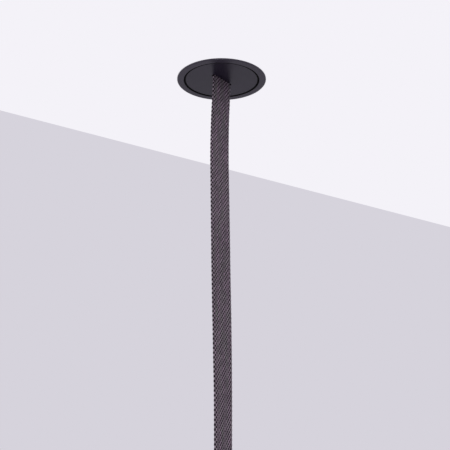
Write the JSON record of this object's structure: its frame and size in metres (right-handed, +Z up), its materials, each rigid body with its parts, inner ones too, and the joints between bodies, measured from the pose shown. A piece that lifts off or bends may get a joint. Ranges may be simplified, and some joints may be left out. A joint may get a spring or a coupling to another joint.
{
  "type": "ceiling canopy",
  "caption": "Round recessed ceiling canopy with a flat trim ring, a slotted cover disc, a wiring can with spring clips, and a woven belt clamped inside it that hangs down to an end clamp.",
  "frame": {"origin": "centre of the round hole in the ceiling, in the plane of the ceiling's underside, on which the flange's back face lies", "axes": "+Z up into the ceiling along the hole's axis, +X along the belt's width and the slot in the cover disc"},
  "size_m": [0.0904, 0.0921, 0.4449],
  "materials": {
    "satin_black": "fine satin black powder coat",
    "black_steel": "black oxide, satin",
    "zinc_plate": "bright zinc plate",
    "spring_steel": "tempered spring steel",
    "nickel": "nickel plate",
    "brass": "turned brass",
    "white_nylon": "moulded nylon",
    "black_nylon": "moulded nylon",
    "black_rubber": "moulded rubber",
    "grey_insulation": "extruded insulation",
    "woven_belt": "twill-woven belt in grey and plum yarns"
  },
  "bodies": {
    "root": {"trim_ring": "satin_black", "cover_disc": "satin_black", "cover_magnet_1": "nickel", "cover_magnet_2": "nickel", "cover_magnet_3": "nickel", "cover_magnet_4": "nickel", "housing_can": "black_steel", "can_screw_1": "zinc_plate", "can_screw_2": "zinc_plate", "can_screw_3": "zinc_plate", "spring_clip_1": "spring_steel", "spring_clip_2": "spring_steel", "spring_clip_3": "spring_steel", "clip_rivet_1": "nickel", "clip_rivet_2": "nickel", "clip_rivet_3": "nickel", "anchor_bridge": "zinc_plate", "bridge_screw_1": "zinc_plate", "bridge_screw_2": "zinc_plate", "bridge_screw_3": "zinc_plate", "bridge_screw_4": "zinc_plate", "jaw_front": "black_steel", "jaw_back": "black_steel", "jaw_screw_left": "zinc_plate", "jaw_screw_right": "zinc_plate", "jaw_nut_left": "zinc_plate", "jaw_nut_right": "zinc_plate", "terminal_block": "white_nylon", "terminal_tube_1": "brass", "terminal_tube_2": "brass", "terminal_screw_1": "zinc_plate", "terminal_screw_2": "zinc_plate", "terminal_screw_3": "zinc_plate", "terminal_screw_4": "zinc_plate", "block_screw": "zinc_plate", "lead_1": "grey_insulation", "lead_2": "grey_insulation", "gland_body": "black_nylon", "gland_seal": "black_rubber", "gland_cap": "black_nylon", "gland_nut": "black_nylon", "earth_screw": "brass", "earth_washer": "brass", "earth_nut": "brass", "belt": "woven_belt", "end_plate_front": "black_steel", "end_plate_back": "black_steel", "end_screw_left": "black_steel", "end_screw_right": "black_steel", "end_nut_left": "black_steel", "end_nut_right": "black_steel"}
  },
  "joints": []
}
